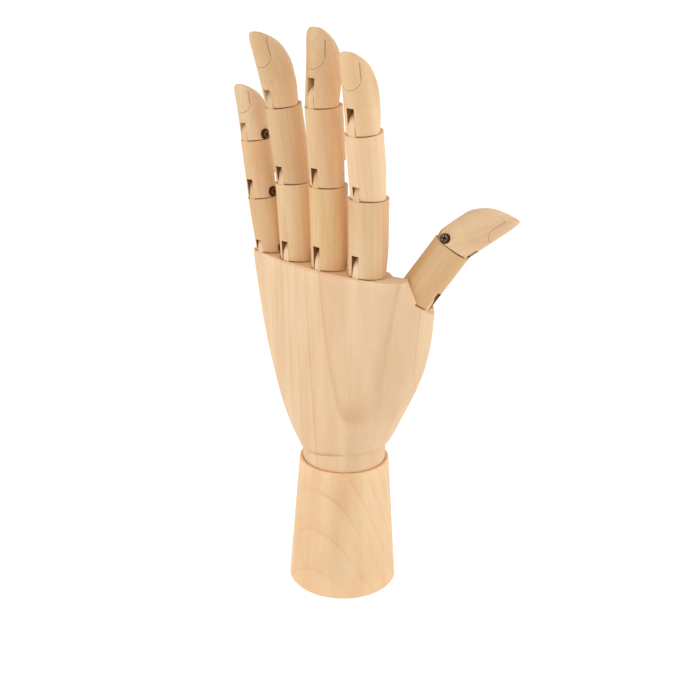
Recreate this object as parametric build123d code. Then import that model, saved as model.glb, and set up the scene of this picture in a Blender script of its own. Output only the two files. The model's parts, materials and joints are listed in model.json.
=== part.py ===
from build123d import *
from math import acos, atan2, cos, exp, log, radians, sin, sqrt, tan
import os

# A jointed wooden hand on a turned stand, in millimetres, as a left hand seen from its back.
# Origin: centre of the stand's bottom face. +Z up, -Y the back of the hand, +X the thumb side.

# Driving dimensions of the stand and the wrist
base_height = 74.5
foot_radius = 30.2
rim_radius = 24.8
edge_break = 0.5
neck_radius = 22.9
neck_top_height = 81.9
neck_top_slope = 8.4
neck_step = 0.2
neck_overlap = 0.4
dish_radius = 24.5
dish_clearance = 0.3
tilt_height = 82.7
bolt_radius = 2.5
bolt_head_radius = 5.0
bolt_head_height = 3.4
bolt_thread_height = 78.0
hex_socket_radius = 2.3
hex_socket_depth = 2.0
recess_roof_radius = 34.7
recess_radius = 16.5
foot_seat_radius = 20.0
foot_seat_depth = 2.0
bolt_way_radius = 7.4
washer_thickness = 1.2
top_washer_radius = 13.0
bottom_washer_radius = 8.9
spring_radius = 8.1
spring_wire_radius = 0.8
spring_turns = 5
spring_pitch = 2.9
wrist_gap = 0.1

# Driving dimensions of the palm block
seat_level = 184.5
palm_left = 66.7
palm_right = 38.0
palm_back = 20.0
palm_front = 15.0
thenar_x = 34.0
thenar_y = 12.0
thenar_radius = 13.6
facet_azimuth = 18.0
facet_depth = 20.0
facet_lean = 1.5
facet_softness = 2.0
bevel_slope = 42.0
palm_bevel_slope = 45.0
side_bevel_slope = 34.0
bevel_start = 0.4
scoop_clearance = 0.4
shelf_rise = 1.9
shelf_wall_x = 39.7
shelf_wall_y = 2.7
shelf_wall_azimuth = 33.5
shelf_wall_slope = 63.0
spot_margin = 0.6

# Driving dimensions of every knuckle
hinge_height = 2.9
face_gap = 0.2
back_opening = 2.6
tongue_thickness = 4.2
slot_clearance = 0.2
tongue_back_step = 0.5
tongue_palm_step = 1.0
sweep_clearance = 0.5

# Driving dimensions of the pivot screws
screw_radius = 1.5
screw_running_clearance = 0.05
screw_head_radius = 2.6
screw_head_height = 1.7
screw_head_round = 0.7
screw_seat_depth = 0.4
screw_seat_clearance = 0.25
screw_wall = 2.0
screw_point_length = 1.4
recess_length = 2.9
recess_width = 0.62
recess_depth = 0.9

# Driving dimensions of the nails
nail_line_width = 0.4
nail_curve_width = 0.16
nail_line_depth = 0.4

# The four fingers stand in a slight arch along the palm's top.
finger_pitch = 23.3
row_centre_x = -16.3
row_y = -3.6
arch_rise = 3.9

overrun = 90.0
least_volume = 0.5

# Each finger's own sizes. A segment has its length, radius, rest bend (negative leans back)
# and the height of its slot. A finger's place is in pitches along the row and in arch rises.
fingers = {
    "index": {"pitch_share": 1.492, "arch_share": -0.06, "azimuth": 2.5, "splay": 0.95,
              "length": (40.6, 34.1, 40.6), "radius": (10.32, 9.54, 8.82), "bend": (-2.0, -7.6, 0.5),
              "slot": (12.3, 8.6, 14.0), "head_side": -1, "nail": (4.7, 12.5, 18.0)},
    "middle": {"pitch_share": 0.509, "arch_share": 1.095, "azimuth": -0.5, "splay": -0.1,
               "length": (43.9, 40.6, 37.6), "radius": (10.01, 9.58, 9.06), "bend": (-2.7, -2.8, 8.2),
               "slot": (13.1, 10.7, 13.7), "head_side": -1, "nail": (5.6, 13.5, 19.8)},
    "ring": {"pitch_share": -0.514, "arch_share": 1.159, "azimuth": -1.0, "splay": -2.1,
             "length": (42.0, 40.7, 40.0), "radius": (9.91, 9.42, 9.03), "bend": (-3.1, -5.9, -5.9),
             "slot": (11.5, 10.6, 10.8), "head_side": -1, "nail": (2.6, 11.9, 17.6)},
    "pinky": {"pitch_share": -1.449, "arch_share": 1.082, "azimuth": -3.5, "splay": -4.1,
              "length": (31.4, 30.8, 29.5), "radius": (8.88, 8.5, 8.1), "bend": (-7.5, 2.3, -0.1),
              "slot": (8.4, 10.4, 9.7), "head_side": 1, "nail": (3.4, 10.2, 14.6)},
}
segment_names = ("proximal", "middle", "tip")

# The thumb stands on its own sloping seat at the side of the palm.
thumb_seat_x = 35.7
thumb_seat_y = 12.9
thumb_seat_z = 172.25
thumb_lean = 34.4
thumb_lean_azimuth = 45.0
thumb_turn = 56.0
thumb_fold = 50.0
thumb = {"length": (33.2, 36.9), "radius": (10.3, 10.1), "bend": (0.0, -19.3), "offset": (0.0, 2.2),
         "slot": (11.0, 11.5), "head_side": (1, -1), "nail": (3.6, 12.0, 17.4)}
thumb_names = ("proximal", "tip")

# How far the shoulder under a knuckle reaches past the dowel on its palm side, and how far a
# fork is cut to turn over it, in degrees
knuckle_shoulder = 0
finger_seat_shoulder = 0.8
thumb_seat_shoulder = -4.8
square_side = 90.0
finger_turn_room = (78.0, 88.0, 73.0)
thumb_turn_room = (53.0, 48.0)
thumb_pocket_turn = 80.0
relief_clearance = 0.4
tongue_radius_shares = (0.93, 0.85, 0.93)
thumb_tongue_radius_shares = (0.93, 0.74)

# Sections of the palm from the neck up: height between rim and seat level, then the reach to
# the little finger's side, the thumb's side, the back and the palm, each between neck and full
# size, and how square the section is.
palm_section_shares = (
    (0.150, 0.31, 0.19, 0.16, 0.26, 2.2),
    (0.230, 0.44, 0.32, 0.30, 0.42, 2.35),
    (0.400, 0.62, 0.58, 0.50, 0.70, 2.6),
    (0.570, 0.76, 0.80, 0.70, 0.88, 2.8),
    (0.750, 0.88, 0.95, 0.86, 0.97, 2.9),
    (0.880, 0.95, 1.00, 0.95, 1.0, 3.0),
    (1.000, 1.00, 1.00, 1.00, 1.0, 3.0),
)
# The sloping faces round the finger seats: the finger each starts from, the way it faces from
# the back toward the thumb, and its slope
bevels = (
    ("index", 12.0, bevel_slope),
    ("middle", 4.0, bevel_slope),
    ("ring", -1.0, bevel_slope),
    ("pinky", -8.0, bevel_slope),
    ("pinky", -45.0, side_bevel_slope),
    ("pinky", -90.0, side_bevel_slope),
)
# The ball of the thumb: height share, way out to its place, and its radius between neck and tip
thenar_section_shares = (
    (0.060, 0.03, 0.03),
    (0.110, 0.11, 0.10),
    (0.230, 0.36, 0.42),
    (0.400, 0.64, 0.62),
    (0.570, 0.82, 0.68),
    (0.750, 0.95, 0.90),
    (0.860, 1.00, 1.00),
    (1.000, 1.00, 1.08),
)
# A fingertip from its pad to its peak: way along, reach of the nail side, reach of the pad
# and half width, as shares of its radius
tip_section_shares = (
    (0.0, 1.0, 1.0, 1.0),
    (0.12, 1.0, 0.99, 1.0),
    (0.3, 1.0, 0.93, 1.0),
    (0.5, 1.0, 0.71, 0.985),
    (0.7, 0.995, 0.35, 0.94),
    (0.85, 0.98, -0.10, 0.82),
    (0.95, 0.94, -0.50, 0.60),
    (1.0, 0.88, -0.76, 0.26),
)
pad_start_share = 0.34
section_points = 32
outline_points = 240
start_weight = 0.5

centred_up = (Align.CENTER, Align.CENTER, Align.MIN)
centred_down = (Align.CENTER, Align.CENTER, Align.MAX)


def turned(corners):
    """A turned solid about Z from (radius, height) corners."""
    return revolve(Plane.XZ * make_face(Polyline(*corners, close=True)), Axis.Z)


def half_space(point, normal):
    """Everything on the far side of a plane, as a block big enough for this hand."""
    block = Box(4 * overrun, 4 * overrun, 2 * overrun, align=centred_up)
    return Plane(origin=point, z_dir=normal).location * block


def slab(profile, thickness):
    """A profile drawn in the bending plane (y, z), thick to both sides along the hinge."""
    return extrude(Plane.YZ * profile, amount=thickness / 2, both=True)


def cross_pin(start, end, radius):
    """A round bar along the hinge axis between two places."""
    bar = Cylinder(radius, abs(end - start))
    return Location(((start + end) / 2, 0, 0)) * (Rotation(0, 90, 0) * bar)


# Where the pieces of a digit stand at rest

def tilted(frame, turn):
    """A frame turned about its own hinge axis, positive toward the palm."""
    axis = frame.x_dir
    along = frame.z_dir * cos(radians(turn)) + frame.y_dir * sin(radians(turn))
    return Plane(origin=frame.origin, x_dir=axis, z_dir=along)


def digit_frames(seat, lengths, bends, offsets):
    """For each segment the frame of its lower face, with its hinge, and the frame it starts from."""
    frames = []
    lower = seat
    for length, bend, offset in zip(lengths, bends, offsets):
        hinge = lower.origin + lower.z_dir * hinge_height + lower.y_dir * offset
        upper = tilted(Plane(origin=hinge, x_dir=lower.x_dir, z_dir=lower.z_dir), bend)
        start = upper.origin - upper.z_dir * hinge_height - upper.y_dir * offset
        frame = Plane(origin=start, x_dir=upper.x_dir, z_dir=upper.z_dir)
        frames.append({"frame": frame, "hinge": hinge, "lower": lower})
        lower = Plane(origin=start + upper.z_dir * length, x_dir=upper.x_dir, z_dir=upper.z_dir)
    return frames


def finger_seat(sizes):
    """The frame on the palm's top in which a finger stands, before its splay."""
    x = row_centre_x + finger_pitch * sizes["pitch_share"]
    y = row_y - arch_rise * sizes["arch_share"]
    turn = radians(sizes["azimuth"])
    splay = radians(sizes["splay"])
    across = Vector(cos(turn) * cos(splay), sin(turn) * cos(splay), -sin(splay))
    up = Vector(cos(turn) * sin(splay), sin(turn) * sin(splay), cos(splay))
    sink = sizes["radius"][0] * abs(sin(splay))
    return Plane(origin=(x, y, seat_level - sink), x_dir=across, z_dir=up)


def thumb_seat():
    """The frame of the thumb's sloping seat; its y points to the thumb's palm side."""
    lean = radians(thumb_lean)
    azimuth = radians(thumb_lean_azimuth)
    away = Vector(-sin(azimuth), cos(azimuth), 0)
    along = Vector(cos(azimuth) * sin(lean), sin(azimuth) * sin(lean), cos(lean))
    level = along.cross(away)
    turn = radians(thumb_turn)
    palm_side = away * cos(turn) + level * sin(turn)
    across = palm_side.cross(along)
    return Plane(origin=(thumb_seat_x, thumb_seat_y, thumb_seat_z), x_dir=across, z_dir=along)


# Shapes of a knuckle

def tongue_reach(radius, offset):
    """The farthest point of a tongue from its hinge."""
    return sqrt((radius - tongue_back_step + offset) ** 2 + hinge_height ** 2)


def tongue(radius, radius_share, offset):
    """The flat tongue above a shoulder of this radius, drawn about its hinge at the origin."""
    disc_radius = radius * radius_share
    corners = []
    for side, step in ((-1, tongue_back_step), (1, tongue_palm_step)):
        foot = (side * (radius - step) - offset, -hinge_height)
        distance = sqrt(foot[0] ** 2 + foot[1] ** 2)
        spread = acos(min(1, disc_radius / distance))
        angle = atan2(foot[1], foot[0]) + side * spread
        corners.append((foot, (disc_radius * cos(angle), disc_radius * sin(angle))))
    (back_foot, back_touch), (palm_foot, palm_touch) = corners
    below = -2 * hinge_height
    skirt = make_face(Polyline((back_foot[0], below), back_foot, back_touch, (0, 0), palm_touch,
                               palm_foot, (palm_foot[0], below), close=True))
    disc = Circle(disc_radius)
    plate = slab(disc, tongue_thickness) + slab(skirt, tongue_thickness)
    hole = cross_pin(-tongue_thickness, tongue_thickness, screw_radius + screw_running_clearance)
    return plate - hole


def knuckle_relief(shoulder, turn_room, side_slope):
    """What a fork loses round its hinge, so that it bends to the palm and rests square.

    The shoulder below ends in a side of this slope, or in a drum about the hinge if it is None.
    """
    nose = hinge_height - face_gap
    turn = radians(turn_room)
    span = shoulder + relief_clearance
    foot = (nose * sin(turn), -nose * cos(turn))
    half_foot = (nose * sin(turn / 2), -nose * cos(turn / 2))
    corner = (foot[0] + span * cos(turn), foot[1] + span * sin(turn))
    edge = [ThreePointArc((0, -nose), half_foot, foot), Line(foot, corner)]
    if side_slope is None:
        radius = sqrt(span ** 2 + nose ** 2)
        halfway = atan2(corner[1], corner[0]) / 2
        edge.append(ThreePointArc(corner, (radius * cos(halfway), radius * sin(halfway)), (radius, 0)))
        edge.append(Line((radius, 0), (radius, -nose)))
        edge.append(Line((radius, -nose), (2 * overrun, -nose)))
        edge.append(Line((2 * overrun, -nose), (2 * overrun, -overrun)))
    else:
        way = turn - radians(side_slope)
        far = (corner[0] + 2 * overrun * cos(way), corner[1] + 2 * overrun * sin(way))
        edge.append(Line(corner, far))
        edge.append(Line(far, (far[0], -overrun)))
    last = edge[-1] @ 1
    lift = 2 * overrun * tan(radians(back_opening))
    edge.append(Line((last.X, last.Y), (-2 * overrun, -overrun)))
    edge.append(Line((-2 * overrun, -overrun), (-2 * overrun, lift - nose)))
    edge.append(Line((-2 * overrun, lift - nose), (0, -nose)))
    return slab(make_face(edge), 4 * overrun)


def round_bar(radius, length):
    """A dowel that starts below its joint line and ends at its upper shoulder."""
    below = 2 * hinge_height
    return Location((0, 0, -below)) * Cylinder(radius, length + below, align=centred_up)


def finger_end(radius, length):
    """A dowel with its pad carved away to a peak near the nail side."""
    start = length * pad_start_share
    carved = length - start
    sections = []
    for along, nail_reach, pad_reach, width in tip_section_shares:
        depth = (nail_reach + pad_reach) * radius / 2
        middle = (pad_reach - nail_reach) * radius / 2
        place = Location((0, middle, start + carved * along))
        sections.append(place * Ellipse(width * radius, depth))
    return round_bar(radius, start) + loft(sections)


def nail_groove(radius, length, nail):
    """The engraved outline of a nail: two straight sides joined by a round bottom."""
    top, side, bottom = nail
    half = radius * sin(radians(47))
    band = []
    for way in (1, -1):
        width = 2 * half + way * nail_line_width
        straight = Rectangle(width, side - top, align=(Align.CENTER, Align.MIN))
        grow = way * nail_curve_width / 2
        band.append(Location((0, length - side)) * (straight + Ellipse(half + grow, bottom - side + grow)))
    outline = band[0] - band[1]
    open_top = Location((0, length - top)) * Rectangle(2 * half - nail_line_width, nail_line_width * 2)
    cutter = extrude(Plane.XZ * (outline - open_top), amount=overrun)
    return cutter - Cylinder(radius - nail_line_depth, 4 * overrun)


def screw_place(radius, offset, side):
    """Distances along the hinge of a screw's seat and of its blind end."""
    skin = sqrt(radius ** 2 - offset ** 2)
    return side * (skin - screw_seat_depth), -side * (skin - screw_wall)


def screw_shank(start, end):
    """A screw's shank with its point, from under the head."""
    direction = 1 if end > start else -1
    taper_start = end - direction * screw_point_length
    bar = cross_pin(start, taper_start, screw_radius)
    point = Cone(screw_radius, screw_radius / 4, screw_point_length)
    place = Location(((taper_start + end) / 2, 0, 0)) * Rotation(0, 90 * direction, 0)
    return bar + place * point


def pivot_screw(radius, offset, side):
    """A pan head screw along the hinge axis, with a crossed recess."""
    seat, end = screw_place(radius, offset, side)
    head = Cylinder(screw_head_radius, screw_head_height, align=centred_up)
    rim = head.edges().sort_by(Axis.Z)[-1]
    head = fillet(rim, screw_head_round)
    for turn in (0, 90):
        blade = Box(recess_length, recess_width, recess_depth, align=centred_down)
        head -= Location((0, 0, screw_head_height)) * Rotation(0, 0, turn) * blade
    head = Location((seat, 0, 0)) * Rotation(0, 90 * side, 0) * Rotation(0, 0, 45) * head
    return head + screw_shank(seat, end)


def fork_cuts(radius, lower_radius, offset, slot, side):
    """The slot, the screw's holes and its flat seat, drawn about the hinge."""
    reach = tongue_reach(lower_radius, offset) + sweep_clearance
    width = tongue_thickness + 2 * slot_clearance
    height = slot - hinge_height
    opening = Location((0, -offset, height)) * Box(width, 2 * overrun, overrun, align=centred_down)
    seat, end = screw_place(radius, offset, side)
    near_hole = cross_pin(0, seat, screw_radius + screw_running_clearance)
    head_seat = cross_pin(seat, seat + side * overrun / 4, screw_head_radius + screw_seat_clearance)
    cuts = opening + slab(Circle(reach), width)
    return cuts + near_hole + screw_shank(seat, end) + head_seat


def segment(sizes):
    """One piece of a digit in its own frame, with z along it and y to the palm."""
    radius, length = sizes["radius"], sizes["length"]
    if sizes["nail"]:
        body = finger_end(radius, length)
        body -= nail_groove(radius, length, sizes["nail"])
    else:
        body = round_bar(radius, length)
        place = Location((0, sizes["next_offset"], length + hinge_height))
        body += place * tongue(radius, sizes["next_tongue_share"], sizes["next_offset"])
    hinge = Location((0, sizes["offset"], hinge_height))
    shoulder = sizes["lower_radius"] + sizes["shoulder"] - sizes["offset"]
    relief = knuckle_relief(shoulder, sizes["turn_room"], sizes["side_slope"])
    body -= hinge * Rotation(sizes["bend"], 0, 0) * relief
    body -= hinge * fork_cuts(radius, sizes["lower_radius"], sizes["offset"], sizes["slot"],
                              sizes["head_side"])
    return body


# Build each digit

def digit_parts(digit, names, seat, sizes):
    """Every piece and screw of a digit with the joint each piece turns on."""
    count = len(names)
    frames = digit_frames(seat, sizes["length"], sizes["bend"], sizes["offset"])
    pieces = []
    for number, name in enumerate(names):
        last = number == count - 1
        own = {
            "radius": sizes["radius"][number], "length": sizes["length"][number],
            "bend": sizes["bend"][number], "offset": sizes["offset"][number],
            "slot": sizes["slot"][number], "head_side": sizes["head_side"][number],
            "lower_radius": sizes["radius"][max(number - 1, 0)],
            "shoulder": sizes["shoulder"][number], "turn_room": sizes["turn_room"][number],
            "side_slope": sizes["side_slope"][number],
            "nail": sizes["nail"] if last else None,
            "next_offset": 0 if last else sizes["offset"][number + 1],
            "next_tongue_share": 0 if last else sizes["tongue_share"][number + 1],
        }
        place = frames[number]["frame"].location
        turned_place = place * Location((0, own["offset"], hinge_height))
        screw = pivot_screw(own["radius"], own["offset"], own["head_side"])
        pieces.append({"node": f"{digit}_{name}", "shape": place * segment(own),
                       "screw_node": f"{digit}_{name}_screw", "screw": turned_place * screw,
                       "hinge": frames[number]["hinge"], "axis": frames[number]["frame"].x_dir,
                       "frame": frames[number]["frame"]})
    return pieces


def finger_sizes(own):
    """A finger's table row in full."""
    return {"length": own["length"], "radius": own["radius"], "bend": own["bend"], "slot": own["slot"],
            "nail": own["nail"], "offset": (0, 0, 0), "head_side": (own["head_side"],) * 3,
            "shoulder": (finger_seat_shoulder, knuckle_shoulder, knuckle_shoulder),
            "turn_room": finger_turn_room, "side_slope": (palm_bevel_slope, square_side, square_side),
            "tongue_share": tongue_radius_shares}


def thumb_sizes():
    """The thumb's table in full."""
    full = dict(thumb)
    full["shoulder"] = (thumb_seat_shoulder, knuckle_shoulder)
    full["turn_room"] = thumb_turn_room
    full["side_slope"] = (None, square_side)
    full["tongue_share"] = thumb_tongue_radius_shares
    return full


# Build the palm block

def superellipse(to_left, to_right, to_back, to_front, square):
    """Points of a squared-off oval with its own reach to each side."""
    points = []
    for step in range(outline_points):
        angle = radians(360 * step / outline_points)
        across, deep = cos(angle), sin(angle)
        x = abs(across) ** (2 / square) * (to_right if across > 0 else -to_left)
        y = abs(deep) ** (2 / square) * (to_front if deep > 0 else -to_back)
        points.append((x, y))
    return points


def stretched_round(points):
    """The points on the outside, in order, as a band stretched round them would touch them."""
    def half(ordered):
        chain = []
        for point in ordered:
            while len(chain) > 1:
                (x0, y0), (x1, y1) = chain[-2:]
                if (x1 - x0) * (point[1] - y0) - (y1 - y0) * (point[0] - x0) > 0:
                    break
                chain.pop()
            chain.append(point)
        return chain[:-1]
    ordered = sorted(points)
    return half(ordered) + half(ordered[::-1])


def even_steps(outline):
    """Points at even steps along a closed outline, from where it crosses the +X side."""
    turn = max(range(len(outline)), key=lambda i: outline[i][0] - abs(outline[i][1]) * start_weight)
    closed = outline[turn:] + outline[:turn + 1]
    lengths = [0]
    for (x0, y0), (x1, y1) in zip(closed, closed[1:]):
        lengths.append(lengths[-1] + sqrt((x1 - x0) ** 2 + (y1 - y0) ** 2))
    points, place = [], 0
    for step in range(section_points):
        target = lengths[-1] * step / section_points
        while lengths[place + 1] <= target:
            place += 1
        way = (target - lengths[place]) / (lengths[place + 1] - lengths[place])
        (x0, y0), (x1, y1) = closed[place], closed[place + 1]
        points.append((x0 + way * (x1 - x0), y0 + way * (y1 - y0)))
    return points


def thenar_at(height_share):
    """Way out and radius of the ball of the thumb at a height, from its table."""
    rows = thenar_section_shares
    for (low, way0, size0), (high, way1, size1) in zip(rows, rows[1:]):
        if height_share <= high:
            part = max(0, (height_share - low) / (high - low))
            return way0 + part * (way1 - way0), size0 + part * (size1 - size0)
    return rows[-1][1:]


def flattened(points, height):
    """The points of a section with its back pressed to a flat that turns softly at its ends."""
    azimuth = radians(facet_azimuth)
    depth = facet_depth + (seat_level - height) * tan(radians(facet_lean))
    pressed = []
    for x, y in points:
        excess = x * sin(azimuth) - y * cos(azimuth) - depth
        cut = facet_softness * log(1 + exp(excess / facet_softness))
        pressed.append((x - cut * sin(azimuth), y + cut * cos(azimuth)))
    return pressed


def palm_outline(height_share, left, right, back, front, square):
    """One section of the palm with the ball of the thumb, as a smooth closed curve."""
    reaches = []
    for share, full in ((left, palm_left), (right, palm_right), (back, palm_back), (front, palm_front)):
        reaches.append(neck_radius + share * (full - neck_radius))
    points = superellipse(*reaches, square)
    way, size = thenar_at(height_share)
    radius = neck_radius + size * (thenar_radius - neck_radius)
    for step in range(outline_points):
        angle = radians(360 * step / outline_points)
        points.append((thenar_x * way + radius * cos(angle), thenar_y * way + radius * sin(angle)))
    height = base_height + height_share * (seat_level - base_height)
    corners = flattened(even_steps(stretched_round(points)), height)
    return Location((0, 0, height)) * make_face(Spline(*corners, periodic=True))


def palm_foot():
    """The first section of the palm, on the sloping end of its round neck."""
    radius = neck_radius + neck_step
    turns = [radians(360 * step / section_points) for step in range(section_points)]
    ring = [(radius * cos(turn), radius * sin(turn)) for turn in turns]
    slope = tan(radians(neck_top_slope))
    corners = [(x, y, neck_top_height + x * slope) for x, y in flattened(ring, neck_top_height)]
    return make_face(Spline(*corners, periodic=True))


def palm_body():
    """The carved block with its ball of the thumb, before its seats are cut."""
    return loft([palm_foot()] + [palm_outline(*row) for row in palm_section_shares])


def dome_edge():
    """Height at which the neck's dome meets its straight side."""
    return tilt_height - sqrt((dish_radius - dish_clearance) ** 2 - neck_radius ** 2)


def round_neck():
    """The neck, with its turned end that sits in the stand's dish."""
    radius = dish_radius - dish_clearance
    edge = dome_edge()
    ball = Location((0, 0, tilt_height)) * Sphere(radius)
    upper = Location((0, 0, edge)) * Box(overrun, overrun, overrun, align=centred_up)
    collar = Location((0, 0, edge)) * Cylinder(neck_radius, overrun, align=centred_up)
    slope = radians(neck_top_slope)
    top = half_space(Vector(0, 0, neck_top_height + neck_overlap), Vector(-sin(slope), 0, cos(slope)))
    return (ball - upper) + (collar - top)


def bevel_cut(seat, radius, azimuth, slope):
    """A sloping face that starts just outside a digit's foot."""
    outward = Vector(sin(radians(azimuth)), -cos(radians(azimuth)), 0)
    point = Vector(seat.origin.X, seat.origin.Y, seat_level) + outward * (radius + bevel_start)
    normal = outward * sin(radians(slope)) + Vector(0, 0, 1) * cos(radians(slope))
    return half_space(point, normal)


def finger_spot(seat, radius, side):
    """The spot face square to a finger, with room for its screw's head and its palm side slope."""
    face = Cylinder(radius + spot_margin, overrun, align=centred_up)
    room = cross_pin(0, side * (radius + screw_head_height), screw_head_radius + screw_seat_clearance)
    edge = radius + spot_margin
    drop = overrun * tan(radians(palm_bevel_slope))
    slope = make_face(Polyline((0, 0), (edge, 0), (edge + overrun, -drop), (edge + overrun, overrun),
                               (0, overrun), close=True))
    front = slab(slope, finger_pitch)
    return seat.location * (face + front + Location((0, 0, hinge_height)) * room)


def thumb_shelf(seat):
    """The corner that is cut off the block above the thumb's seat."""
    level = half_space(seat.origin + seat.z_dir * shelf_rise, seat.z_dir)
    azimuth = radians(shelf_wall_azimuth)
    slope = radians(shelf_wall_slope)
    normal = Vector(cos(azimuth) * sin(slope), sin(azimuth) * sin(slope), cos(slope))
    return level & half_space(Vector(shelf_wall_x, shelf_wall_y, seat_level), normal)


def thumb_scoop(seat):
    """The hollow round the thumb, and the room that its fold toward the palm needs."""
    radius = thumb["radius"][0]
    room = Cylinder(radius + scoop_clearance, overrun, align=centred_up)
    width = 2 * (radius + scoop_clearance)
    room += Location((0, -overrun / 2, 0)) * Box(width, overrun, overrun, align=centred_up)
    head_end = thumb["head_side"][0] * (radius + screw_head_height)
    head = cross_pin(0, head_end, screw_head_radius + screw_seat_clearance)
    lift = radius + sweep_clearance
    fold, deepest = radians(thumb_fold), radians(thumb_pocket_turn)
    halfway = (fold + deepest) / 2
    touch = (lift * cos(fold), -lift * sin(fold))
    far = (touch[0] + overrun * sin(fold), touch[1] + overrun * cos(fold))
    edge = [
        Line((0, 0), (lift * cos(deepest), -lift * sin(deepest))),
        ThreePointArc((lift * cos(deepest), -lift * sin(deepest)),
                      (lift * cos(halfway), -lift * sin(halfway)), touch),
        Line(touch, far),
        Line(far, (0, far[1])),
        Line((0, far[1]), (0, 0)),
    ]
    shoulder = radius + thumb_seat_shoulder
    drum = cross_pin(-overrun, overrun, sqrt(shoulder ** 2 + hinge_height ** 2))
    drum -= Location((0, 0, -hinge_height)) * Box(4 * overrun, 4 * overrun, overrun, align=centred_up)
    fold_room = slab(make_face(edge), 2 * lift) - drum
    return seat.location * (room + Location((0, 0, hinge_height)) * (head + fold_room))


def palm_block(seats, thumb_place):
    """The palm with its seats, tongues and the hole for the wrist bolt."""
    body = palm_body() + round_neck()
    radii = {name: sizes["radius"][0] for name, sizes in fingers.items()}
    for name, azimuth, slope in bevels:
        body -= bevel_cut(seats[name], radii[name], azimuth, slope)
    body -= thumb_shelf(thumb_place)
    body -= thumb_scoop(thumb_place)
    for name, seat in seats.items():
        body -= finger_spot(seat, radii[name], fingers[name]["head_side"])
    for name, seat in seats.items():
        place = seat.location * Location((0, 0, hinge_height))
        body += place * tongue(radii[name], tongue_radius_shares[0], 0)
    place = thumb_place.location * Location((0, 0, hinge_height))
    body += place * tongue(thumb["radius"][0], tongue_radius_shares[0], 0)
    hole = Location((0, 0, bolt_thread_height)) * Cylinder(bolt_radius, overrun, align=centred_down)
    return body - hole


# Build the stand and the wrist's fittings

def wrist_base():
    """The turned stand with its dish above and its recess below."""
    body = turned([(0, 0), (foot_radius - edge_break, 0), (foot_radius, edge_break),
                   (rim_radius, base_height - edge_break), (rim_radius - edge_break, base_height),
                   (0, base_height)])
    centre = Location((0, 0, tilt_height))
    body -= centre * Sphere(dish_radius)
    recess = Cylinder(recess_radius, tilt_height - recess_roof_radius / 2, align=centred_up)
    body -= recess - centre * Sphere(recess_roof_radius)
    body -= Cylinder(foot_seat_radius, foot_seat_depth, align=centred_up)
    return body - Cylinder(bolt_way_radius, overrun, align=centred_up)


def cupped_washer():
    """The washer that slides on the recess's domed roof."""
    centre = Location((0, 0, tilt_height))
    inner = recess_roof_radius + wrist_gap
    ring = Cylinder(top_washer_radius, tilt_height) - Cylinder(bolt_way_radius, 2 * tilt_height)
    ring = Location((0, 0, tilt_height / 2)) * ring
    return (ring & (centre * Sphere(inner + washer_thickness))) - centre * Sphere(inner)


def spring_top():
    """Height of the wire's centre line where the spring starts, under the cupped washer."""
    under = recess_roof_radius + 2 * wrist_gap + washer_thickness
    return tilt_height - sqrt(under ** 2 - (spring_radius - spring_wire_radius) ** 2) - spring_wire_radius


def helix_point(turn):
    """A place on the spring and its direction there, counted in turns from the top."""
    angle = radians(360 * turn)
    place = Vector(spring_radius * cos(angle), spring_radius * sin(angle),
                   spring_top() - spring_pitch * turn)
    around = radians(360) * spring_radius
    heading = Vector(-around * sin(angle), around * cos(angle), -spring_pitch)
    return place, heading.normalized()


def biarc(first, second):
    """Two arcs that join two places with the directions given there."""
    (start, leave), (end, arrive) = first, second
    span = end - start
    both = leave + arrive
    slope = -2 * span.dot(both)
    square = 2 * (leave.dot(arrive) - 1)
    gap = span.dot(span)
    reach = (-slope - sqrt(slope ** 2 - 4 * square * gap)) / (2 * square)
    reach = abs(reach)
    other = (-slope + sqrt(slope ** 2 - 4 * square * gap)) / (2 * square)
    if other > 0:
        reach = min(reach, other)
    before = start + leave * reach
    after = end - arrive * reach
    middle = (before + after) * 0.5
    return [TangentArc(start, middle, tangent=leave),
            TangentArc(middle, end, tangent=(after - before).normalized())]


def wrist_spring():
    """The compression spring between the two washers."""
    quarters = 4 * spring_turns
    stops = [helix_point(step / 4) for step in range(quarters + 1)]
    arcs = []
    for first, second in zip(stops, stops[1:]):
        arcs += biarc(first, second)
    path = Wire([arc.edge() for arc in arcs])
    start, heading = stops[0]
    wire = Plane(origin=start, z_dir=heading) * Circle(spring_wire_radius)
    return sweep(wire, path=path)


def spring_self_gap():
    """Least gap between neighbouring curls, measured on points of the centre line."""
    steps = 24
    least = overrun
    points = [helix_point(step / steps)[0] for step in range(steps * spring_turns + 1)]
    for number, point in enumerate(points):
        for other in points[number + steps // 2:]:
            least = min(least, (point - other).length)
    return least - 2 * spring_wire_radius


def bottom_washer_top():
    """Height of the lower washer's upper face, under the last curl."""
    return spring_top() - spring_pitch * spring_turns - spring_wire_radius - wrist_gap


def wrist_end_washer():
    """The flat washer under the spring."""
    ring = Cylinder(bottom_washer_radius, washer_thickness, align=centred_down)
    ring -= Cylinder(bolt_radius + wrist_gap, 2 * washer_thickness)
    return Location((0, 0, bottom_washer_top())) * ring


def wrist_bolt():
    """The bolt that draws the palm block down on the stand."""
    seat = bottom_washer_top() - washer_thickness - wrist_gap / 4
    head = Cylinder(bolt_head_radius, bolt_head_height, align=centred_down)
    head = chamfer(head.edges().sort_by(Axis.Z)[0], edge_break)
    socket = extrude(RegularPolygon(hex_socket_radius, 6), amount=hex_socket_depth)
    head -= Location((0, 0, -bolt_head_height)) * socket
    shank = Cylinder(bolt_radius, bolt_thread_height - seat, align=centred_up)
    return Location((0, 0, seat)) * (head + shank)


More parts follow.
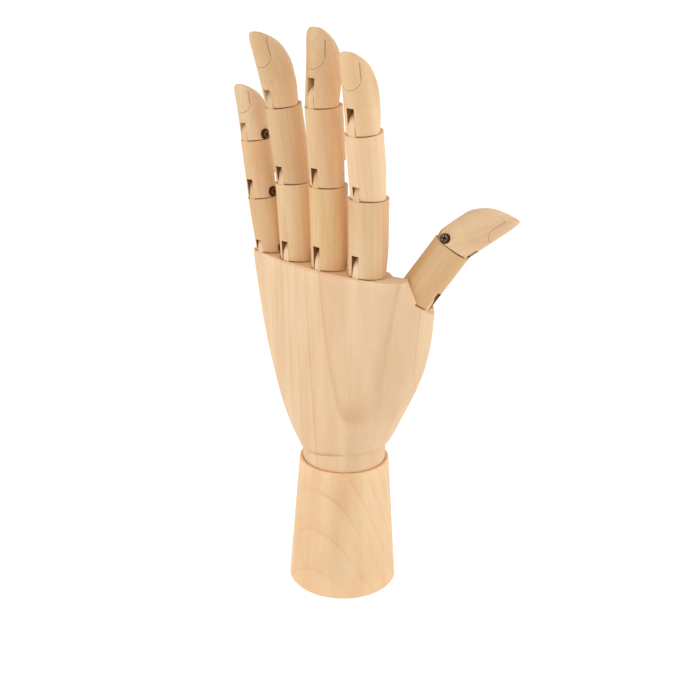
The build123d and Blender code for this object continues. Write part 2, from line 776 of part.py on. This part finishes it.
def save(node, shape):
    """Write one piece."""
    if isinstance(shape, (list, ShapeList)):
        shape = Compound(list(shape))
    solids = [solid for solid in shape.solids() if solid.volume > least_volume]
    if len(solids) == 1:
        shape = solids[0]
    else:
        print("more than one solid:", node, [round(solid.volume, 2) for solid in solids])
    export_step(shape, f"parts/{node}.step")
    nodes[node] = shape


os.makedirs("parts", exist_ok=True)
nodes = {}
joints = []

seats = {name: finger_seat(sizes) for name, sizes in fingers.items()}
thumb_place = thumb_seat()
save("wrist_base", wrist_base())
save("palm_block", palm_block(seats, thumb_place))
save("wrist_cupped_washer", cupped_washer())
save("wrist_spring", wrist_spring())
save("wrist_end_washer", wrist_end_washer())
save("wrist_bolt", wrist_bolt())
print("least gap between the spring's curls:", round(spring_self_gap(), 3))

for name, seat in seats.items():
    for piece in digit_parts(name, segment_names, seat, finger_sizes(fingers[name])):
        save(piece["node"], piece["shape"])
        save(piece["screw_node"], piece["screw"])
        joints.append(piece)
for piece in digit_parts("thumb", thumb_names, thumb_place, thumb_sizes()):
    save(piece["node"], piece["shape"])
    save(piece["screw_node"], piece["screw"])
    joints.append(piece)
print("pieces:", len(nodes), "hinges of the digits:", len(joints))
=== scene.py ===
import json
import math

import bpy
from mathutils import Matrix, Vector

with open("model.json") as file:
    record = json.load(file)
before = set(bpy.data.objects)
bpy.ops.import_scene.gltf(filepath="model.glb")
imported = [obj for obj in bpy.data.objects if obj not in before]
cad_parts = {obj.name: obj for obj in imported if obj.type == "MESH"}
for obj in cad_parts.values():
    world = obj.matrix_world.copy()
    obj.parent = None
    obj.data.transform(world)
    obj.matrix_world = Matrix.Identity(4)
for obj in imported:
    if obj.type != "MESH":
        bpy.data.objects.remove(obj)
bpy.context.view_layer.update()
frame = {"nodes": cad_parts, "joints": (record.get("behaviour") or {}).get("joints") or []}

# The stand: a tapered post turned from beech on a lathe, sanded fine and left nearly bare.
# Its dish carries the palm's neck, and its foot is cut square across the grain.
# The beech here is pale, with soft broad rings, tiny darker rays and only a thin satin seal.

BEECH_PALE = "#FADBB2"
BEECH_MID = "#F2CA9F"
BEECH_RING = "#D9A372"
BEECH_RAY = "#C08E60"
BEECH_END_GRAIN = "#CFA377"
# The slots' walls: the saw's brown, painted darker as the shade inside the slots.
BEECH_SAWN_AND_SHADE = "#7E5230"

# Each pattern of the grain: its width across and length along the fibres in mm, its detail and
# roughness, and how far each step of the seed moves it, so that no two pieces are alike.
GRAIN_PATTERNS = {
    "sway": (22.2, 83.3, 2.0, 0.45, (7.3, 3.1, 1.0)),
    "fade": (20.0, 50.0, 1.0, 0.5, (1.0, 2.7, 5.1)),
    "fibre": (0.9, 26.0, 3.0, 0.6, (11.0, 0.0, 0.0)),
    "mottle": (11.1, 71.4, 2.0, 0.5, (0.0, 9.0, 0.0)),
    "ray": (0.48, 2.2, 1.0, 0.5, (1.0, 1.0, 13.0))}

# How dark a ring is across its width: pale where it starts, then one dark line near its end.
# From the heart outward the rings may close up. At SWELL_MM they are where even rings would be.
RING_PROFILE = ((0.40, 0.10), (0.84, 0.34), (0.915, 0.95), (0.945, 0.90), (0.975, 0.30))
SWELL_MM = 5.0
FADED_RING = 0.25
STREAK_STRENGTH = 0.16
RAY_STRENGTH = 0.22
END_GRAIN_STRENGTH = 0.55
PORES_PER_MM = 2.2
SAW_MARGIN_MM = 0.1
SAWN_AND_SHADE_STRENGTH = 0.9
HOLLOW_TONE = 0.90
EDGE_TONE = 1.06
GRAIN_RELIEF_MM = 0.2
EDGE_ROUND_MM = 0.22
MM_PER_M = 1000.0


def linear(hex_colour):
    """An sRGB hex colour as the linear values that a shader takes."""
    parts = [int(hex_colour[i:i + 2], 16) / 255 for i in (1, 3, 5)]
    return tuple(p / 12.92 if p <= 0.04045 else ((p + 0.055) / 1.055) ** 2.4 for p in parts) + (1,)


def add_node(tree, kind, settings=None, **inputs):
    """A node with its settings. An input is a value, an output, or a node for its first output.

    An input is given by its name, or as i and its number where sockets share a name.
    """
    node = tree.nodes.new(kind)
    for name, value in (settings or {}).items():
        setattr(node, name, value)
    for name, value in inputs.items():
        key = int(name[1:]) if name[0] == "i" and name[1:].isdigit() else name.replace("_", " ")
        if isinstance(value, bpy.types.Node):
            value = value.outputs[0]
        if isinstance(value, bpy.types.NodeSocket):
            tree.links.new(value, node.inputs[key])
        else:
            node.inputs[key].default_value = value
    return node


def bare_material(name):
    """A new material whose nodes are still to be laid."""
    material = bpy.data.materials.new(name)
    material.use_nodes = True
    material.node_tree.nodes.clear()
    return material


def grain_place(origin, along, across):
    """The turn and shift to a piece's own coordinates: x on its hinge, z along its grain."""
    z = Vector(along).normalized()
    x = (Vector(across) - z * Vector(across).dot(z)).normalized()
    y = z.cross(x)
    turn = Matrix((x, y, z))
    return (turn.to_euler("XYZ"), turn @ Vector(origin))


def beech(name, origin, along, across, pith_mm, seed, heart_mm=0.0, swell=1.0, slope=0.02,
          ring_mm=3.2, phase=0.0, sway_mm=1.5, contrast=0.4, slot_mm=0.0, richness=1.0, lightness=1.0):
    """Turned and sanded beech: arched rings, short rays, end grain, and dark slots, sawn brown and
    painted shade.
    """
    material = bare_material(name)
    tree = material.node_tree
    turn, shift = grain_place(origin, along, across)
    place = add_node(tree, "ShaderNodeTexCoord")
    local = add_node(tree, "ShaderNodeMapping", Vector=place.outputs["Object"], Location=-shift,
                     Rotation=turn)
    grain = add_node(tree, "ShaderNodeVectorMath", {"operation": "SCALE"}, i0=local, Scale=MM_PER_M)
    sides = add_node(tree, "ShaderNodeSeparateXYZ", Vector=grain)
    noise = {}
    for use, (width_mm, length_mm, detail, roughness, steps) in GRAIN_PATTERNS.items():
        stretched = add_node(tree, "ShaderNodeMapping", Vector=grain,
                             Location=[seed * step for step in steps],
                             Scale=(1 / width_mm, 1 / width_mm, 1 / length_mm))
        noise[use] = add_node(tree, "ShaderNodeTexNoise", Vector=stretched, Scale=1.0,
                              Detail=detail, Roughness=roughness)

    # Growth rings: the tree's pith lies in the piece or beside it, and the rings narrow upward or
    # downward like a cone, so that a shallow cut through them shows nested arches.
    across_pith = add_node(tree, "ShaderNodeMapping", Vector=grain, Scale=(1, 1, 0),
                           Location=(-pith_mm[0], -pith_mm[1], 0))
    from_pith = add_node(tree, "ShaderNodeVectorMath", {"operation": "LENGTH"}, i0=across_pith)
    beyond = add_node(tree, "ShaderNodeMath", {"operation": "SUBTRACT"},
                      i0=from_pith.outputs["Value"], i1=heart_mm)
    outside = add_node(tree, "ShaderNodeMath", {"operation": "MAXIMUM"}, i0=beyond, i1=0.0)
    share = add_node(tree, "ShaderNodeMath", {"operation": "DIVIDE"}, i0=outside, i1=SWELL_MM)
    spread = add_node(tree, "ShaderNodeMath", {"operation": "POWER"}, i0=share, i1=swell)
    rise = add_node(tree, "ShaderNodeMath", {"operation": "MULTIPLY_ADD"}, i0=sides.outputs["Z"],
                    i1=slope, i2=ring_mm * phase)
    cone = add_node(tree, "ShaderNodeMath", {"operation": "MULTIPLY_ADD"}, i0=spread, i1=SWELL_MM,
                    i2=rise)
    swayed = add_node(tree, "ShaderNodeMath", {"operation": "MULTIPLY_ADD"}, i0=noise["sway"],
                      i1=sway_mm, i2=cone)
    counted = add_node(tree, "ShaderNodeMath", {"operation": "DIVIDE"}, i0=swayed, i1=ring_mm)
    ring = add_node(tree, "ShaderNodeMath", {"operation": "FRACT"}, i0=counted)
    ring_band = add_node(tree, "ShaderNodeValToRGB", Fac=ring)
    stops = ring_band.color_ramp.elements
    for stop in stops:
        stop.color = (0.0, 0.0, 0.0, 1.0)
    for position, value in RING_PROFILE:
        stops.new(position).color = (value, value, value, 1.0)

    # Each ring fades in and out along the piece, as it does where the lathe or plane meets it.
    shown = add_node(tree, "ShaderNodeMapRange", Value=noise["fade"], From_Min=0.3, From_Max=0.7,
                     To_Min=FADED_RING * contrast, To_Max=contrast)
    ring_strength = add_node(tree, "ShaderNodeMath", {"operation": "MULTIPLY"}, i0=ring_band, i1=shown)

    # Over the pale ground come broad clouds, the rings, fibres as long soft streaks, and beech's
    # short brown rays, drawn a little wider than the real ones so that they show.
    mottle = add_node(tree, "ShaderNodeMapRange", Value=noise["mottle"], From_Min=0.3, From_Max=0.7)
    streak = add_node(tree, "ShaderNodeMapRange", Value=noise["fibre"], From_Min=0.3, From_Max=0.75,
                      To_Min=0.0, To_Max=STREAK_STRENGTH)
    ray = add_node(tree, "ShaderNodeMapRange", {"interpolation_type": "SMOOTHSTEP"},
                   Value=noise["ray"], From_Min=0.62, From_Max=0.76, To_Min=0.0, To_Max=RAY_STRENGTH)

    # End grain: the faces cut across the fibres take the finish darker, with fine pores.
    faces = add_node(tree, "ShaderNodeMapping", {"vector_type": "VECTOR"},
                     Vector=place.outputs["Normal"], Rotation=turn)
    facing = add_node(tree, "ShaderNodeSeparateXYZ", Vector=faces)
    upright = add_node(tree, "ShaderNodeMath", {"operation": "ABSOLUTE"}, i0=facing.outputs["Z"])
    cut_across = add_node(tree, "ShaderNodeMapRange", {"interpolation_type": "SMOOTHSTEP"},
                          Value=upright, From_Min=0.60, From_Max=0.98, To_Min=0.0,
                          To_Max=END_GRAIN_STRENGTH)
    pores = add_node(tree, "ShaderNodeTexNoise", Vector=grain, Scale=PORES_PER_MM, Detail=2.0)
    pored = add_node(tree, "ShaderNodeMapRange", Value=pores, From_Min=0.2, From_Max=0.8,
                     To_Min=0.55, To_Max=1.0)
    end_share = add_node(tree, "ShaderNodeMath", {"operation": "MULTIPLY"}, i0=cut_across, i1=pored)
    layers = [(mottle, BEECH_MID), (ring_strength, BEECH_RING), (streak, BEECH_RING),
              (ray, BEECH_RAY), (end_share, BEECH_END_GRAIN)]

    # A sawn slot: the hot saw leaves its walls and floor brown, and the brown is painted darker as the
    # shade inside the slot. They are the faces between the cheeks of the fork that look back at the
    # hinge, where the sanded skin looks away from it.
    if slot_mm:
        off_middle = add_node(tree, "ShaderNodeMath", {"operation": "ABSOLUTE"},
                              i0=sides.outputs["X"])
        between = add_node(tree, "ShaderNodeMath", {"operation": "LESS_THAN"}, i0=off_middle,
                           i1=slot_mm / 2 + SAW_MARGIN_MM)
        outward = add_node(tree, "ShaderNodeVectorMath", {"operation": "DOT_PRODUCT"}, i0=faces,
                           i1=grain)
        inward = add_node(tree, "ShaderNodeMath", {"operation": "LESS_THAN"},
                          i0=outward.outputs["Value"], i1=0.0)
        sawn = add_node(tree, "ShaderNodeMath", {"operation": "MULTIPLY"}, i0=between, i1=inward)
        browned_and_shaded = add_node(tree, "ShaderNodeMath", {"operation": "MULTIPLY"}, i0=sawn,
                           i1=SAWN_AND_SHADE_STRENGTH)
        layers.append((browned_and_shaded, BEECH_SAWN_AND_SHADE))

    colour = linear(BEECH_PALE)
    for strength, tone in layers:
        colour = add_node(tree, "ShaderNodeMix", {"data_type": "RGBA"}, i0=strength, i6=colour,
                          i7=linear(tone)).outputs[2]

    # The hollows are painted a little darker, and handling rubs the edges a little paler. Then the
    # piece gets the tone of its stock, which on the thumb's proximal piece is also painted shade.
    shape = add_node(tree, "ShaderNodeNewGeometry")
    hollow_and_edge_tone = add_node(tree, "ShaderNodeMapRange", Value=shape.outputs["Pointiness"], From_Min=0.42,
                    From_Max=0.58, To_Min=HOLLOW_TONE * lightness, To_Max=EDGE_TONE * lightness)
    toned = add_node(tree, "ShaderNodeHueSaturation", Value=hollow_and_edge_tone, Saturation=richness, Color=colour)

    # Sanding leaves the fibres and the dark lines standing by less than a hair, and eases the edges.
    height = add_node(tree, "ShaderNodeMath", {"operation": "MULTIPLY_ADD"}, i0=noise["fibre"],
                      i1=0.5, i2=ring_band)
    rounded = add_node(tree, "ShaderNodeBevel", {"samples": 4}, Radius=EDGE_ROUND_MM / MM_PER_M)
    bump = add_node(tree, "ShaderNodeBump", Strength=0.1, Distance=GRAIN_RELIEF_MM / MM_PER_M,
                    Height=height, Normal=rounded)
    satin = add_node(tree, "ShaderNodeMapRange", Value=noise["fibre"], From_Min=0.2, From_Max=0.8,
                     To_Min=0.50, To_Max=0.64)
    wood = add_node(tree, "ShaderNodeBsdfPrincipled", Base_Color=toned, Roughness=satin, Normal=bump,
                    IOR=1.48, Specular_IOR_Level=0.38, Coat_Weight=0.06, Coat_Roughness=0.35)
    add_node(tree, "ShaderNodeOutputMaterial", Surface=wood)
    return material


def dress(node, material):
    """Gives a CAD node its finish."""
    piece = frame["nodes"][node]
    piece.data.materials.clear()
    piece.data.materials.append(material)


dress("wrist_base", beech("turned_beech_stand", (0, 0, 0), (0.01, 0.02, 1), (1, 0, 0), (-2.4, 9.7),
                          1.0, slope=-0.07, ring_mm=3.0, sway_mm=1.2, contrast=0.32,
                          richness=1.05, lightness=1.05))

# The palm: one block of beech, bandsawn to a fan, shaped on a belt sander and sanded fine.
# Its five tongues are cut from the solid, and its neck is turned to a ball that sits in the dish.
# The back shows the rings as one tall arch, because the block was sawn flat from the log.

dress("palm_block", beech("sawn_beech_palm", (0, 0, 0.13), (0, 0, 1), (1, 0, 0), (16.3, -2.9), 2.0,
                          heart_mm=13.0, swell=1.6, slope=-0.237, ring_mm=26.0, phase=0.66,
                          sway_mm=4.0, contrast=0.55))

# The wrist's fittings: a zinc-plated bolt, a spring of drawn steel wire and two pressed washers.
# They are fitted from below, and draw the ball into its dish, so only the foot's recess shows them.
# Zinc gives a cool, finely scratched grey, and the wire is darker with oil.

ZINC_LIGHT = "#B9BBBA"
ZINC_DARK = "#8E9091"
ZINC_ROUGHNESS = 0.34
WIRE_LIGHT = "#5C5C5E"
WIRE_DARK = "#47474A"
WIRE_ROUGHNESS = 0.30
SCRATCH_MM = (0.12, 2.4, 0.36)
SCRATCH_DEPTH_MM = 0.04
CLOUD_MM = 3.333
PLATED_ROUND_MM = 0.12


def plated_steel(name, light, dark, rough):
    """Steel with fine scratches and cloudy patches of its plating or oil."""
    material = bare_material(name)
    tree = material.node_tree
    place = add_node(tree, "ShaderNodeTexCoord")
    stretched = add_node(tree, "ShaderNodeMapping", Vector=place.outputs["Object"],
                         Scale=[MM_PER_M / size for size in SCRATCH_MM])
    scratch = add_node(tree, "ShaderNodeTexNoise", Vector=stretched, Scale=1.0, Detail=4.0)
    cloud = add_node(tree, "ShaderNodeTexNoise", Vector=place.outputs["Object"],
                     Scale=MM_PER_M / CLOUD_MM, Detail=3.0)
    colour = add_node(tree, "ShaderNodeMix", {"data_type": "RGBA"}, i0=cloud, i6=linear(light),
                      i7=linear(dark))
    roughness = add_node(tree, "ShaderNodeMapRange", Value=scratch, From_Min=0.3, From_Max=0.7,
                         To_Min=rough - 0.07, To_Max=rough + 0.12)
    rounded = add_node(tree, "ShaderNodeBevel", {"samples": 4}, Radius=PLATED_ROUND_MM / MM_PER_M)
    bump = add_node(tree, "ShaderNodeBump", Strength=0.12, Distance=SCRATCH_DEPTH_MM / MM_PER_M,
                    Height=scratch, Normal=rounded)
    steel = add_node(tree, "ShaderNodeBsdfPrincipled", Base_Color=colour.outputs[2],
                     Roughness=roughness, Normal=bump, Metallic=1.0)
    add_node(tree, "ShaderNodeOutputMaterial", Surface=steel)
    return material


zinc = plated_steel("zinc_plated_steel", ZINC_LIGHT, ZINC_DARK, ZINC_ROUGHNESS)
for fitting in ("wrist_bolt", "wrist_end_washer", "wrist_cupped_washer"):
    dress(fitting, zinc)
dress("wrist_spring", plated_steel("drawn_steel_wire", WIRE_LIGHT, WIRE_DARK, WIRE_ROUGHNESS))

# The digits: beech dowels, slotted below and tongued above, that meet on flat shoulders.
# Each tip is carved on a sanding drum to a pad and a nail side, with the nail's outline scored in.
# Every dowel was cut from other stock, so its rings and tone differ from its neighbours'.

SLOT_WIDTH_MM = 4.6
DOWEL_PITH_MM = 60
DOWEL_SLOPE = 0.02
DOWEL_CONTRAST = 0.28
FIRST_SEED = 4.7
SEED_STEP = 1.7
PITH_TURN = 2.1

# How rich and how light the colour of each piece's stock is; the thumb's proximal piece is darker also
# as painted shade. A piece not named is of common stock.
COMMON_STOCK = (1.09, 0.88)
STOCK_TONE_AND_SHADE = {"index_middle": (1.0, 1.0), "index_tip": (1.09, 0.97), "middle_proximal": (1.17, 0.87),
         "ring_middle": (1.12, 0.80), "pinky_tip": (1.03, 0.92), "pinky_proximal": (1.12, 0.84),
         "thumb_proximal": (1.15, 0.82), "thumb_tip": (1.03, 0.98)}
FINGER_STAGES = ("proximal", "middle", "tip")
DIGITS = {"index": FINGER_STAGES, "middle": FINGER_STAGES, "ring": FINGER_STAGES,
          "pinky": FINGER_STAGES, "thumb": ("proximal", "tip")}

hinges = {joint["child"]: joint for joint in frame["joints"]}
seed = FIRST_SEED
for digit, stages in DIGITS.items():
    for number, stage in enumerate(stages):
        node = f"{digit}_{stage}"
        hinge = hinges[node]
        start = Vector(hinge["pos_m"])
        if stage == "tip":
            points = [vertex.co for vertex in frame["nodes"][node].data.vertices]
            end = max(points, key=lambda point: (point - start).length)
        else:
            end = Vector(hinges[f"{digit}_{stages[number + 1]}"]["pos_m"])
        pith_way = seed * PITH_TURN
        pith = (DOWEL_PITH_MM * math.sin(pith_way), DOWEL_PITH_MM * math.cos(pith_way))
        # On the thumb's proximal piece this darker tone is also painted shade.
        richness, lightness = STOCK_TONE_AND_SHADE.get(node, COMMON_STOCK)
        dress(node, beech(f"beech_dowel_{node}", start, end - start, hinge["axis"], pith, seed,
                          slope=DOWEL_SLOPE * math.sin(seed), contrast=DOWEL_CONTRAST,
                          slot_mm=SLOT_WIDTH_MM, richness=richness, lightness=lightness))
        seed += SEED_STEP

# The pivots: pan head screws of bronzed steel with a crossed recess, one through each knuckle.
# Each bites in the far cheek of its fork and runs free in the tongue, so that it is the hinge's pin.
# The bronzing is a dark brown oxide, worn bright by the driver round the cross. The dark rim is partly
# painted shade, and the black inside the cross is painted shade.

BRONZE_OXIDE_AND_RIM_SHADE = "#3F2E22"
BRONZED_WORN = "#B59A78"
# The cross recess is painted near black, as the shade inside it.
CROSS_RECESS_SHADE = "#0E0B09"
CROSS_RADIUS_MM = 1.5
CROSS_STARTS_MM = 0.1
HEAD_ONLY_MM = 1.8
WORN_FULL_MM = 1.43
WORN_OUT_MM = 2.21
WORN_STRENGTH = 0.70
GRIME_MM = 1.111
GRIME_RELIEF_MM = 0.05
HEAD_ROUND_MM = 0.2


def bronzed_steel(name, origin, head_way, head_top_mm):
    """A small bronzed screw: a rim of oxide and painted shade, a face worn by the driver, shade
    painted in the cross.
    """
    material = bare_material(name)
    tree = material.node_tree
    across = Vector((0, 0, 1)) if abs(head_way.z) < 0.9 else Vector((1, 0, 0))
    turn, shift = grain_place(origin, head_way, across)
    place = add_node(tree, "ShaderNodeTexCoord")
    local = add_node(tree, "ShaderNodeMapping", Vector=place.outputs["Object"], Location=-shift,
                     Rotation=turn)
    scaled = add_node(tree, "ShaderNodeVectorMath", {"operation": "SCALE"}, i0=local, Scale=MM_PER_M)
    sides = add_node(tree, "ShaderNodeSeparateXYZ", Vector=scaled)
    flat = add_node(tree, "ShaderNodeMapping", Vector=scaled, Scale=(1, 1, 0))
    from_axis = add_node(tree, "ShaderNodeVectorMath", {"operation": "LENGTH"}, i0=flat)

    # The cross is what lies under the top of the head and near its middle. It is painted black as
    # shade.
    sunk = add_node(tree, "ShaderNodeMath", {"operation": "LESS_THAN"}, i0=sides.outputs["Z"],
                    i1=head_top_mm - CROSS_STARTS_MM)
    middle = add_node(tree, "ShaderNodeMath", {"operation": "LESS_THAN"},
                      i0=from_axis.outputs["Value"], i1=CROSS_RADIUS_MM)
    cross = add_node(tree, "ShaderNodeMath", {"operation": "MULTIPLY"}, i0=sunk, i1=middle)

    # The driver has worn the face round the cross, in patches, and the rim is left dark, partly as
    # painted shade.
    worn_face = add_node(tree, "ShaderNodeMapRange", {"interpolation_type": "SMOOTHSTEP"},
                         Value=from_axis.outputs["Value"], From_Min=WORN_FULL_MM,
                         From_Max=WORN_OUT_MM, To_Min=WORN_STRENGTH, To_Max=0.0)
    grime = add_node(tree, "ShaderNodeTexNoise", Vector=place.outputs["Object"],
                     Scale=MM_PER_M / GRIME_MM, Detail=3.0)
    patches = add_node(tree, "ShaderNodeMapRange", Value=grime, From_Min=0.35, From_Max=0.65,
                       To_Min=0.35, To_Max=1.0)
    patchy = add_node(tree, "ShaderNodeMath", {"operation": "MULTIPLY"}, i0=worn_face, i1=patches)
    colour = linear(BRONZE_OXIDE_AND_RIM_SHADE)
    for strength, tone in ((patchy, BRONZED_WORN), (cross, CROSS_RECESS_SHADE)):
        colour = add_node(tree, "ShaderNodeMix", {"data_type": "RGBA"}, i0=strength, i6=colour,
                          i7=linear(tone)).outputs[2]
    roughness = add_node(tree, "ShaderNodeMapRange", Value=grime, From_Min=0.3, From_Max=0.7,
                         To_Min=0.26, To_Max=0.44)
    rounded = add_node(tree, "ShaderNodeBevel", {"samples": 4}, Radius=HEAD_ROUND_MM / MM_PER_M)
    bump = add_node(tree, "ShaderNodeBump", Strength=0.12, Distance=GRIME_RELIEF_MM / MM_PER_M,
                    Height=grime, Normal=rounded)
    steel = add_node(tree, "ShaderNodeBsdfPrincipled", Base_Color=colour, Roughness=roughness,
                     Normal=bump, Metallic=1.0)
    add_node(tree, "ShaderNodeOutputMaterial", Surface=steel)
    return material


for digit, stages in DIGITS.items():
    for stage in stages:
        node = f"{digit}_{stage}_screw"
        hinge = hinges[f"{digit}_{stage}"]
        centre = Vector(hinge["pos_m"])
        axis = Vector(hinge["axis"]).normalized()
        points = [vertex.co - centre for vertex in frame["nodes"][node].data.vertices]
        wide = [point.dot(axis) for point in points
                if (point - axis * point.dot(axis)).length * MM_PER_M > HEAD_ONLY_MM]
        head_way = axis if sum(wide) > 0 else -axis
        top_mm = max(point.dot(head_way) for point in points) * MM_PER_M
        dress(node, bronzed_steel(f"bronzed_steel_{node}", centre, head_way, top_mm))

# The studio: a wide white table top that runs out of sight, a big soft lamp at each side, a weak
# one above the camera, and an even white surround that fills the shadows.

TABLE_WHITE = "#F4F4F4"
SURROUND_WHITE = "#FFFFFF"
TABLE_REACH_M = 9
TABLE_LIFT = 0.42
SURROUND_FILL = 0.69
LAMP_WIDTH_M = 1.0
LAMP_AIM = Vector((-0.005, 0.0, 0.15))
LAMPS = {"left_lamp": ((-1.0, -1.15, 0.85), 6.5), "right_lamp": ((1.15, 1.0, 0.85), 6.5),
         "front_lamp": ((1.15, -0.95, 1.25), 2.6)}

table_mesh = bpy.data.meshes.new("studio_floor")
table_mesh.from_pydata([(-TABLE_REACH_M, -TABLE_REACH_M, 0), (TABLE_REACH_M, -TABLE_REACH_M, 0),
                        (TABLE_REACH_M, TABLE_REACH_M, 0), (-TABLE_REACH_M, TABLE_REACH_M, 0)],
                       [], [(0, 1, 2, 3)])
table = bpy.data.objects.new("studio_floor", table_mesh)
bpy.context.scene.collection.objects.link(table)
table_top = bare_material("white_table_top")
tree = table_top.node_tree
rays = add_node(tree, "ShaderNodeLightPath")
seen = add_node(tree, "ShaderNodeMath", {"operation": "MAXIMUM"}, i0=rays.outputs["Is Camera Ray"],
                i1=rays.outputs["Is Glossy Ray"])
matt_white = add_node(tree, "ShaderNodeBsdfDiffuse", Color=linear(TABLE_WHITE))
lift = add_node(tree, "ShaderNodeEmission", Color=linear(SURROUND_WHITE), Strength=TABLE_LIFT)
lifted = add_node(tree, "ShaderNodeAddShader", i0=matt_white, i1=lift)
surface = add_node(tree, "ShaderNodeMixShader", Fac=seen, i1=matt_white, i2=lifted)
add_node(tree, "ShaderNodeOutputMaterial", Surface=surface)
table_mesh.materials.append(table_top)

world = bpy.data.worlds.new("white_surround")
bpy.context.scene.world = world
world.use_nodes = True
tree = world.node_tree
tree.nodes.clear()
rays = add_node(tree, "ShaderNodeLightPath")
seen = add_node(tree, "ShaderNodeMath", {"operation": "MAXIMUM"}, i0=rays.outputs["Is Camera Ray"],
                i1=rays.outputs["Is Transmission Ray"])
fill = add_node(tree, "ShaderNodeBackground", Color=linear(SURROUND_WHITE), Strength=SURROUND_FILL)
backdrop = add_node(tree, "ShaderNodeBackground", Color=linear(SURROUND_WHITE), Strength=1.0)
mixed = add_node(tree, "ShaderNodeMixShader", Fac=seen, i1=fill, i2=backdrop)
add_node(tree, "ShaderNodeOutputWorld", Surface=mixed)

for name, (spot, power) in LAMPS.items():
    lamp = bpy.data.lights.new(name, "AREA")
    lamp.energy = power
    lamp.shape = "DISK"
    lamp.size = LAMP_WIDTH_M
    holder = bpy.data.objects.new(name, lamp)
    holder.location = spot
    holder.rotation_euler = (LAMP_AIM - Vector(spot)).to_track_quat("-Z", "Y").to_euler()
    bpy.context.scene.collection.objects.link(holder)

# The camera: a 61 mm lens on a 36 mm frame, from the index finger's side of the back and a little
# above, with the slight roll that the photograph has.

AZIMUTH = math.radians(45.0)
PITCH = math.radians(20.43)
ROLL = 0.0137
CAMERA_BACK_M = 0.5801
CAMERA_LEFT_M = 0.00318
CAMERA_HEIGHT_M = 0.3587
FOCAL_PX = 1150
PICTURE_PX = 680
FRAME_MM = 36.0

plumb = Vector((0, 0, 1))
right = Vector((math.cos(AZIMUTH), math.sin(AZIMUTH), 0))
away = Vector((-math.sin(AZIMUTH), math.cos(AZIMUTH), 0))
up = away * math.sin(PITCH) + plumb * math.cos(PITCH)
ahead = away * math.cos(PITCH) - plumb * math.sin(PITCH)
rolled_right = right * math.cos(ROLL) + up * math.sin(ROLL)
rolled_up = up * math.cos(ROLL) - right * math.sin(ROLL)
spot = plumb * CAMERA_HEIGHT_M - away * CAMERA_BACK_M - right * CAMERA_LEFT_M
camera = bpy.data.cameras.new("studio_camera")
camera.sensor_fit = "HORIZONTAL"
camera.sensor_width = FRAME_MM
camera.lens = FOCAL_PX / PICTURE_PX * FRAME_MM
camera.clip_start = 0.01
eye = bpy.data.objects.new("studio_camera", camera)
eye.matrix_world = Matrix((
    (rolled_right.x, rolled_up.x, -ahead.x, spot.x),
    (rolled_right.y, rolled_up.y, -ahead.y, spot.y),
    (rolled_right.z, rolled_up.z, -ahead.z, spot.z),
    (0, 0, 0, 1)))
bpy.context.scene.collection.objects.link(eye)
bpy.context.scene.camera = eye
bpy.context.scene.view_settings.view_transform = "Standard"
